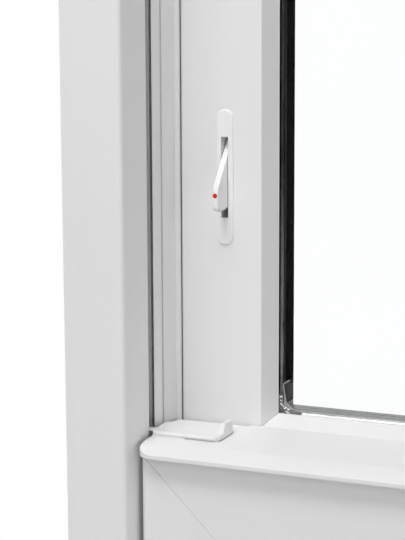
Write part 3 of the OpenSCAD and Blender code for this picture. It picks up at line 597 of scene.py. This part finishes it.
# %% Roll the spacers
def sweep_round(box, profile):
    """A profile carried round the four corners of a box, and back to the first."""
    low, high = box
    rings = []
    for right, top in ((0, 0), (1, 0), (1, 1), (0, 1), (0, 0)):
        x, z = (high if right else low)[0], (high if top else low)[2]
        rings.append([(x + (-a if right else a), low[1] + d, z + (-a if top else a))
                      for a, d in profile])
    shape = Shape()
    shape.grid(rings, closed=True)
    return shape


for sash in SASHES:
    box = in_mm(sash + "_spacer")
    strip = make_piece(sash + "_spacer_rolled", sweep_round(box, spacer_profile()),
                       sash + "_sash", spacer_strip)
    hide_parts(sash + "_spacer")
    # The shoulder's finish is a painted highlight along the bottom and painted shade up the sides.
    make_piece(sash + "_spacer_shoulder", sweep_round(box, shoulder_profile()),
               sash + "_sash", shoulder_highlight_shade)

# %% [markdown]
# ## The drying agent
# On the upright sides, a black bead of drying agent lies on the strip's face and stops short of
# the corners. In front of it the strip is smeared with dark sealant. Extruded paste has a low
# crown and edges that wander a little, so each is a narrow grid of points with a seeded wobble.

# %% Lay the beads
BEAD = (3.2, 15.5, 0.35)         # near and far edges, and the height of the crown
SMEAR = (0.9, 3.5, 0.06)
CROWN = ((0, 0), (0.03, 0.55), (0.15, 0.9), (0.5, 1), (0.85, 0.9), (0.97, 0.55), (1, 0))
NEAR_WOBBLE, FAR_WOBBLE = 0.12, 0.1
SUNK = 0.1                       # how far a bead's back is sunk into the strip
CORNER_UP = 13.2                 # from a level strip's face to the bead's end
BEAD_LENGTHS = 60


def laid_strip(box, section, wobble):
    """A bead up both sides of a spacer. CROWN gives its height across the width."""
    low, high = box
    near_edge, far_edge, crown = section
    bottom, top = low[2] + SPACER_H + CORNER_UP, high[2] - SPACER_H - CORNER_UP
    shape = Shape()
    for face, inward in ((low[0] + SPACER_H, 1), (high[0] - SPACER_H, -1)):
        back, rings = face - inward * SUNK, []
        for share in shares(BEAD_LENGTHS):
            z = bottom + (top - bottom) * share
            near = low[1] + near_edge + wobble.uniform(-NEAR_WOBBLE, NEAR_WOBBLE)
            far = low[1] + far_edge + wobble.uniform(-FAR_WOBBLE, FAR_WOBBLE)
            ring = [(face + inward * crown * lift, near + (far - near) * t, z)
                    for t, lift in CROWN]
            rings.append(ring + [(back, far, z), (back, near, z)])
        shape.tube(rings)
    return shape


wobble = random.Random(4)
for sash in SASHES:
    for kind, section, finish in (("drying_bead", BEAD, desiccant_and_shadow_black),
                                  ("side_smear", SMEAR, sealant_smear)):
        strip = laid_strip(in_mm(sash + "_spacer"), section, wobble)
        make_piece(sash + "_" + kind, strip, sash + "_sash", finish, smooth=True)

# %% [markdown]
# ## The bend at a corner
# The strip isn't cut at a corner. It is bent, so its near edge bunches up: a narrow band curves
# from the side down to the bottom, and the bend behind it shrinks towards the far pane. The band
# is a rectangle carried along a smooth curve. Each corner's points are written as inward, depth
# and rise, measured from where the strip's faces would meet, so one recipe serves all corners.

# %% Bend the strip
BEND_LINE = [(-0.2, 15.1), (-0.13, 13.3), (0.03, 11.8), (0.25, 10.3), (0.51, 8.8), (0.77, 7.2),
             (1.1, 5.7), (1.6, 4.5), (2, 3.8), (2.65, 2.9), (3.45, 2.2), (4.4, 1.6), (5.35, 1.15),
             (6.65, 0.75), (7.95, 0.45), (9.85, 0.02)]      # inward and rise
BAND_NEAR, BAND_FAR, BAND_T = 0.14, 0.95, 0.55
BAND_SLANT = 0.1                 # how much further back its inner edge starts
BEND_FROM = 7                    # the bend behind the band starts at this point of the line
BEND_NEAR, BEND_DEEP = 0.9, 14.7
BEND_TIP = 0.05                  # how near the corner it shrinks to
BEND_CURVE = 0.6                 # under 1, so it shrinks fastest at first
BEND_LENGTHS = 8


def smooth_line(line, parts):
    """A Catmull-Rom curve through the points of line."""
    ends = [line[0]] + line + [line[-1]]
    out = []
    for i in range(1, len(ends) - 2):
        p0, p1, p2, p3 = (Vector(p) for p in ends[i - 1:i + 3])
        for j in range(parts):
            t = j / parts
            out.append(0.5 * (2 * p1 + (p2 - p0) * t + (2 * p0 - 5 * p1 + 4 * p2 - p3) * t * t
                              + (3 * p1 - p0 - 3 * p2 + p3) * t ** 3))
    return out + [Vector(line[-1])]


def square_to(line, i):
    """The direction square to the line at one of its points, away from the corner."""
    ahead = line[min(i + 1, len(line) - 1)] - line[max(i - 1, 0)]
    return Vector((-ahead.y, ahead.x)).normalized()


def corner_band(spot):
    """Rings of the narrow band, from the side down and along the bottom."""
    line = smooth_line(BEND_LINE, 3)
    rings = []
    for i, p in enumerate(line):
        half = square_to(line, i) * BAND_T / 2
        inner, outer = p + half, p - half
        rings.append([spot(inner.x, BAND_NEAR + BAND_SLANT, inner.y),
                      spot(inner.x, BAND_FAR, inner.y), spot(outer.x, BAND_FAR, outer.y),
                      spot(outer.x, BAND_NEAR, outer.y)])
    return rings


def corner_bend(spot):
    """The bent strip behind the band: rows of points that shrink into the corner."""
    line, foot = smooth_line(BEND_LINE[BEND_FROM:], 3), BEND_LINE[-1][1]
    rows = []
    for share in shares(BEND_LENGTHS):
        shrink = 1 - share ** BEND_CURVE
        rows.append([spot(BEND_TIP + (p.x - BEND_TIP) * shrink, BEND_NEAR + BEND_DEEP * share,
                          BEND_TIP + (p.y - foot) * shrink) for p in line])
    return rows


print("the bend's line has", len(smooth_line(BEND_LINE, 3)), "points")

# %% [markdown]
# ## Crumpled foil outside the bend
# The edge of the strip that doesn't fit round the bend is squeezed into foil, painted dull as
# painted shade. A fan of points runs from the band out to an edge behind the sash's bead, and each
# point is pushed forward or back at random. A few creases lie on top: thin lenses, tilted so that
# they catch the light and painted bright as painted highlights.

# %% Crumple the foil
FOIL_FROM = 4                    # the foil starts at this point of the bend's line
FOIL_EDGE = (-3.3, -2.1)         # how far the foil spreads outward and down
FOIL_DEPTH = 0.58
CRUMPLE_DEPTH, CRUMPLE_SHIFT = 0.1, 0.06
FOLDS, FOLD_LENGTHS = 30, 8
CREASE_DEPTH, CREASE_TILT = 0.26, 0.38
CREASE_LENGTHS = 6
LIGHT_SIDE = Vector((0.7, 0.7))  # inward and up, where a tilted crease catches the light
CREASES = [((-2.3, 7.4), (-0.8, 7.9), 0.75), ((-2.1, 5.8), (-1.0, 5.4), 0.5),
           ((-2.0, 4.2), (-0.8, 2.9), 0.48), ((-0.8, 2.9), (0.2, 2.1), 0.34),
           ((0.4, 1.3), (1.9, 2.4), 0.65), ((1.8, 1.5), (2.8, 0.7), 0.26),
           ((2.4, 0.5), (3.5, 1.4), 0.6), ((0.8, 0.0), (3.9, -1.3), 0.42),
           ((2.0, -1.1), (3.0, -1.8), 0.3)]      # start, stop and width


def corner_foil(spot, crumple):
    """Rows of points, each from the band out to the edge of the foil."""
    line = smooth_line(BEND_LINE[FOIL_FROM:], 4)
    left, down = FOIL_EDGE
    rows = []
    for share in shares(FOLDS):
        at = share * (len(line) - 1)
        k = min(int(at), len(line) - 2)
        p = line[k].lerp(line[k + 1], at - k)
        if share < 0.5:
            edge = Vector((left, p.y * (1 - 2 * share) + down * 2 * share))
        else:
            edge = Vector((left + (p.x - left) * (2 * share - 1), down))
        row = []
        for t in shares(FOLD_LENGTHS):
            shift = [crumple.uniform(-CRUMPLE_SHIFT, CRUMPLE_SHIFT) for _ in range(2)]
            q = p.lerp(edge, t) + Vector(shift)
            push = crumple.uniform(-CRUMPLE_DEPTH, CRUMPLE_DEPTH)
            row.append(spot(q.x, FOIL_DEPTH + push, q.y))
        rows.append(row)
    return rows


def crease(spot, start, stop, width):
    """A lens of folded strip between two points; its finish is a painted highlight."""
    start, stop = Vector(start), Vector(stop)
    side = Vector((start.y - stop.y, stop.x - start.x)).normalized() * width / 2
    middle = (start + stop) / 2
    rows = []
    for t in shares(CREASE_LENGTHS):
        p = start.lerp(stop, t)
        swell = math.sin(math.pi * (0.12 + 0.76 * t))       # blunt at both ends
        rows.append([spot(q.x, CREASE_DEPTH + CREASE_TILT * (q - middle).dot(LIGHT_SIDE), q.y)
                     for q in (p - side * swell, p, p + side * swell)])
    return rows


print("foil folds:", FOLDS, "creases:", len(CREASES))

# %% [markdown]
# ## The tab behind the bend
# The corner is held by a key, painted dark as painted shade because it stands in the bend's
# shadow. Its thin tab stands up against the side, bowed, with a curled near edge and a cut along
# the top painted bright as a painted highlight, and a low black ridge under its foot is a painted
# shadow of the gap there.

# %% Stand the tab up
TAB_TOP = [(0.2, -0.2, 15.05), (0.8, 0.1, 15.15), (1.5, 0.3, 15.3), (3.0, 0.45, 15.45),
           (5.5, 0.5, 15.4), (8.8, 0.4, 15.1), (12.0, 0.25, 14.6),
           (15.2, 0.12, 13.4)]   # depth, inward and rise
TAB_FOOT = 4.2                   # the tab ends above the bend and leaves a dark gap
TAB_LENGTHS = 4
LIP_POINTS = 6                   # the cut edge shows along this much of the top
LIP_HALF, LIP_TAPER = 0.2, 0.6
RIDGE = ((2.2, 0.5), (4.5, 0.62), (9.0, 0.55), (12.5, 0.4), (15.0, 0.15))   # depth, height
RIDGE_DOWN, RIDGE_UP = 0.6, 0.1  # below and above the tab's foot
RIDGE_SLOPE, RIDGE_SUNK = 0.1, 0.05


def corner_tab(spot):
    """A sheet with a curled near edge, from its foot to its bowed top."""
    top = smooth_line(TAB_TOP, 2)
    return [[spot(a, d, TAB_FOOT + (z - TAB_FOOT) * t) for d, a, z in top]
            for t in shares(TAB_LENGTHS)]


def tab_lip(spot):
    """The cut edge along the top of the tab, thinner towards the back; its finish is a painted
    highlight.
    """
    top = smooth_line(TAB_TOP[:LIP_POINTS], 2)
    rings = []
    for i, (d, a, z) in enumerate(top):
        r = LIP_HALF * (1 - LIP_TAPER * i / len(top))
        rings.append([spot(a + r, d, z - r), spot(a + r, d, z + r), spot(a - r, d, z + r),
                      spot(a - r, d, z - r)])
    return rings


def tab_gap_shadow(spot):
    """A low dark ridge under the tab's foot: a painted shadow of the gap there."""
    low, high = TAB_FOOT - RIDGE_DOWN, TAB_FOOT + RIDGE_UP
    return [[spot(-RIDGE_SUNK, d, low), spot(lift, d, low + RIDGE_SLOPE), spot(lift, d, high),
             spot(-RIDGE_SUNK, d, high)] for d, lift in RIDGE]


print("the tab stands", round(TAB_TOP[0][2] - TAB_FOOT, 2), "mm tall")

# %% [markdown]
# ## Corners for both sashes
# Each sash has four such corners, mirrored. A small function turns inward, depth and rise at one
# corner into a point on the sash, so the recipes above never need to know which corner they make.

# %% Put the corners into both sashes
def corner_spot(low, high, side, level):
    """Turns inward, depth and rise at one corner of a spacer into a point of its sash."""
    face_x = (high if side > 0 else low)[0] - side * SPACER_H
    face_z = (high if level > 0 else low)[2] - level * SPACER_H
    return lambda inward, depth, rise: (face_x - side * inward, low[1] + depth,
                                        face_z - level * rise)


crumple = random.Random(11)
for sash in SASHES:
    low, high = in_mm(sash + "_spacer")
    folds, creases, foil, gap_shadows, tabs = (Shape() for _ in range(5))
    for side in (-1, 1):
        for level in (-1, 1):
            spot = corner_spot(low, high, side, level)
            foil.tube(corner_band(spot))
            folds.grid(corner_bend(spot))
            foil.grid(corner_foil(spot, crumple))
            for start, stop, width in CREASES:
                creases.grid(crease(spot, start, stop, width))
            creases.tube(tab_lip(spot))
            tabs.grid(corner_tab(spot))
            gap_shadows.tube(tab_gap_shadow(spot))
    # The bend, band and foil carry painted shade, the creases and cut edges painted highlights,
    # the ridges under the tabs painted shadow, and the keys painted shade.
    piece = make_piece(sash + "_corner_folds", folds, sash + "_sash", fold_shade)
    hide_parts(sash + "_spacer_corners")
    for kind, shape, slot, finish in (("creases", creases, "spacer_metal", crease_highlight),
                                      ("foil", foil, "spacer_metal", foil_shade),
                                      ("gap_shadows", gap_shadows, "butyl", desiccant_and_shadow_black),
                                      ("keys", tabs, "butyl", shaded_corner_key)):
        make_piece(sash + "_corner_" + kind, shape, sash + "_sash", finish)

# %% [markdown]
# ## Brush pile
# The draught strips are woven pile: a thin backing with thousands of fibres standing on it. Loose
# blades in three rows, each leaning its own way, catch the light like a brush and stay cheap. They
# replace the plain solids of the CAD model.

# %% Stand the fibres up
BLADE_PITCH = 1.3
BLADE_ROWS = 3
ROW_START, ROW_SPREAD = 0.2, 0.6     # where the rows stand, as shares of the width
BLADE_HALF = (0.42, 0.16)            # of a blade's foot, as shares of the pitch and of the width
ROOT, TIP_HALF = 0.1, 0.2
SHIFT, LEAN_ALONG, LEAN_ACROSS = 0.2, 0.35, 0.3
SHORTEST, TALLEST = 0.88, 0.99
BACKING = 0.45
FOOT_CORNERS = ((-1, -1), (1, -1), (1, 1), (-1, 1))
BLADE_FACES = ((0, 1, 5, 4), (2, 3, 4, 5), (1, 2, 5), (3, 0, 4))


def pile_strip(brush, foot, along, over, up, size, sway):
    """A backing strip with rows of blades. foot is its corner, then come three directions."""
    foot, along, over, up = Vector(foot), Vector(along), Vector(over), Vector(up)
    length, width, height = size
    half_a, half_c = BLADE_HALF[0] * BLADE_PITCH, BLADE_HALF[1] * width

    def at(a, c, u):
        return tuple(foot + along * a + over * c + up * u)

    brush.tube([[at(a, 0, 0), at(a, width, 0), at(a, width, BACKING), at(a, 0, BACKING)]
                for a in (0, length)])
    for i in range(int(length / BLADE_PITCH)):
        for row in range(BLADE_ROWS):
            a = (i + 0.5 + sway.uniform(-SHIFT, SHIFT)) * BLADE_PITCH
            c = (width * (ROW_START + ROW_SPREAD * row / (BLADE_ROWS - 1))
                 + sway.uniform(-SHIFT, SHIFT))
            lean_a = sway.uniform(-LEAN_ALONG, LEAN_ALONG)
            lean_c = sway.uniform(-LEAN_ACROSS, LEAN_ACROSS)
            tall = height * sway.uniform(SHORTEST, TALLEST)
            start = len(brush.points)
            brush.points += [at(a + da * half_a, c + dc * half_c, ROOT)
                             for da, dc in FOOT_CORNERS]
            brush.points += [at(a + lean_a + tip, c + lean_c, tall)
                             for tip in (-TIP_HALF, TIP_HALF)]
            brush.faces += [tuple(start + k for k in face) for face in BLADE_FACES]


print("blades in a metre of pile:", int(1 / MM / BLADE_PITCH) * BLADE_ROWS)

# %% Line the sashes with pile
PILE_W = 5.0
PILE_GAP = 1                         # the side strips stop this short of the top
RAIL_INSET = 40                      # the rail's strip starts and ends this far in
sway = random.Random(23)
for name, node, body in (("upper_pile_brush", "upper_piles", "upper_sash"),
                         ("meeting_pile_brush", "meeting_pile", "lower_sash")):
    low, high = in_mm(node)
    stile_low, stile_high = in_mm(body.split("_")[0] + "_stile_left")
    side_x, back = -stile_low[0], stile_high[1]
    brush = Shape()
    for side in (-1, 1):
        pile_strip(brush, (side * side_x, low[1], low[2]), (0, 0, 1), (0, 1, 0), (side, 0, 0),
                   (high[2] - low[2] - PILE_GAP, PILE_W, high[0] - side_x), sway)
    if node == "meeting_pile":
        pile_strip(brush, (RAIL_INSET - side_x, back, high[2] - PILE_W), (1, 0, 0), (0, 0, 1),
                   (0, 1, 0), (2 * (side_x - RAIL_INSET), PILE_W, high[1] - back), sway)
    piece = make_piece(name, brush, body, pile_grey)
    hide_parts(node)

# %% [markdown]
# ## Balance ribbons
# Each sash hangs on steel ribbons that roll up into coils in the jambs as it rises. These are
# bowed strips in many short lengths, made where the CAD ribbons stand and attached to no body.

# %% Hang the ribbons
RIBBON_LENGTHS = 48
RIBBON_T = 0.25
BOW = [(0.0, 0.12), (0.25, 0.03), (0.5, 0.0), (0.75, 0.03), (1.0, 0.12)]  # share of width, dip


def ribbon(side, low, high):
    """Rings down one strip. Its hollow side faces the middle of the window."""
    line = [(high[0] - dip, low[1] + (high[1] - low[1]) * share) for share, dip in BOW]
    return [[(side * x, y, high[2] + (low[2] - high[2]) * share) for x, y in line]
            + [(side * (x - RIBBON_T), y, high[2] + (low[2] - high[2]) * share)
               for x, y in reversed(line)] for share in shares(RIBBON_LENGTHS)]


for sash in SASHES:
    low, high = in_mm(sash + "_ribbons")
    strips = Shape()
    for side in (-1, 1):
        strips.tube(ribbon(side, low, high))
    piece = make_piece(sash + "_ribbon_strips", strips, None, spring_steel)
    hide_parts(sash + "_ribbons")
    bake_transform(piece)
    print(sash, "ribbons", round(high[2] - low[2]), "mm long")

# %% [markdown]
# ## The studio floor
# A pale floor catches a soft shadow near the window and turns to plain white further off. Its
# paper finish fades into a white glow with the distance from the middle, but only for rays from
# the camera, glass and metal, so the floor gives no extra light.

# %% Build the floor
FLOOR_R, FLOOR_SIDES = 9000, 64
FLOOR_RINGS = (0.02, 0.2, 0.5, 1)    # shares of the radius
FLOOR_DROP = 0.4                     # how far it lies below the window's foot
FADE = (0.55, 1.05)                  # paper before this, white after, in metres
SEEN_BY = ("Is Camera Ray", "Is Glossy Ray", "Is Transmission Ray")

floor = Shape()
turns = [2 * math.pi * i / FLOOR_SIDES for i in range(FLOOR_SIDES)]
floor.grid([[(FLOOR_R * k * math.cos(t), FLOOR_R * k * math.sin(t), -FLOOR_DROP) for t in turns]
            for k in FLOOR_RINGS], closed=True)
floor.faces.append(tuple(range(FLOOR_SIDES)))
floor_mesh = floor.mesh("studio_floor")
studio_floor = bpy.data.objects.new("studio_floor", floor_mesh)
bpy.context.scene.collection.objects.link(studio_floor)
print("floor", len(floor_mesh.polygons), "faces")

# %% Cover the floor with paper
paper = Finish("studio_paper", Roughness=0.8)
camera_ray, glossy_ray, glass_ray = (paper.add("ShaderNodeLightPath", out=ray) for ray in SEEN_BY)
seen = (camera_ray + glossy_ray + glass_ray).smooth(0, 1)
x, y = paper.axis("X"), paper.axis("Y")
reach = x * x + y * y
far_off = reach.math("SQRT", reach).smooth(*FADE)
mottle = paper.noise(30, 3)
paper.wear(paper.blend(mottle, grey(0.86), grey(0.9)), 0.75 + 0.1 * mottle)
glow = paper.add("ShaderNodeEmission", None, {"Color": grey(1.0), "Strength": 1.0})
paper_mix = paper.add("ShaderNodeMixShader", None,
                      {0: seen * far_off, 1: Wire(paper, paper.surface.outputs[0]), 2: glow})
paper.feed(paper.tree.nodes["Material Output"].inputs["Surface"], paper_mix)
floor_mesh.materials.append(paper.material)
print("the floor is plain white past", FADE[1], "m")

# %% [markdown]
# ## The studio light
# The world is white for what the camera, glass and metal see, and dimmer for the light that it
# gives. Eight soft discs do the rest: two above the window, one high and far in front, one high
# behind, two weaker ones in front and one at each side. Far lamps are the strong ones, because
# their light falls evenly over the whole height.

# %% Set the world
WORLD_LIGHT = 0.14
world = bpy.data.worlds.new("studio_world")
world.use_nodes = True
bpy.context.scene.world = world
sky = world.node_tree
path = sky.nodes.new("ShaderNodeLightPath")
seen_ray = path.outputs[SEEN_BY[0]]
for ray in SEEN_BY[1:]:
    either = sky.nodes.new("ShaderNodeMath")
    either.operation = "MAXIMUM"
    sky.links.new(seen_ray, either.inputs[0])
    sky.links.new(path.outputs[ray], either.inputs[1])
    seen_ray = either.outputs[0]
dim, white = sky.nodes["Background"], sky.nodes.new("ShaderNodeBackground")
for background, strength in ((dim, WORLD_LIGHT), (white, 1.0)):
    background.inputs["Color"].default_value = grey(1.0)
    background.inputs["Strength"].default_value = strength
choose = sky.nodes.new("ShaderNodeMixShader")
for i, source in enumerate((seen_ray, dim.outputs[0], white.outputs[0])):
    sky.links.new(source, choose.inputs[i])
sky.links.new(choose.outputs[0], sky.nodes["World Output"].inputs["Surface"])
print("world light:", WORLD_LIGHT)

# %% Light the studio
MIDDLE = (0.0, 0.0, 0.5)
LAMPS = {                    # place, aim, size and power
    "overhead": ((0.0, -0.5, 2.5), MIDDLE, 1.6, 7.7),
    "top_near": ((-0.2, -0.9, 1.9), (-0.2, 0.0, 0.5), 0.8, 5.0),
    "top_far": ((-0.4, -2.2, 4.6), MIDDLE, 1.6, 69.0),
    "back_far": ((0.0, 2.6, 4.2), MIDDLE, 2.4, 32.0),
    "front": ((-0.2, -2.2, 1.9), MIDDLE, 0.8, 7.7),
    "front_left": ((-1.2, -2.0, 1.9), MIDDLE, 0.8, 1.5),
    "side_right": ((2.2, -0.2, 1.0), MIDDLE, 1.3, 9.5),
    "side_left": ((-2.2, 0.3, 1.0), MIDDLE, 1.3, 8.0),
}
for name, (place, aim, size, power) in LAMPS.items():
    light = bpy.data.lights.new(name, "AREA")
    light.shape, light.size, light.energy = "DISK", size, power
    lamp = bpy.data.objects.new(name, light)
    lamp.location = place
    lamp.rotation_euler = (Vector(aim) - Vector(place)).to_track_quat("-Z", "Y").to_euler()
    bpy.context.scene.collection.objects.link(lamp)
bpy.context.scene.view_settings.view_transform = "Standard"
print("lamps:", len(LAMPS))
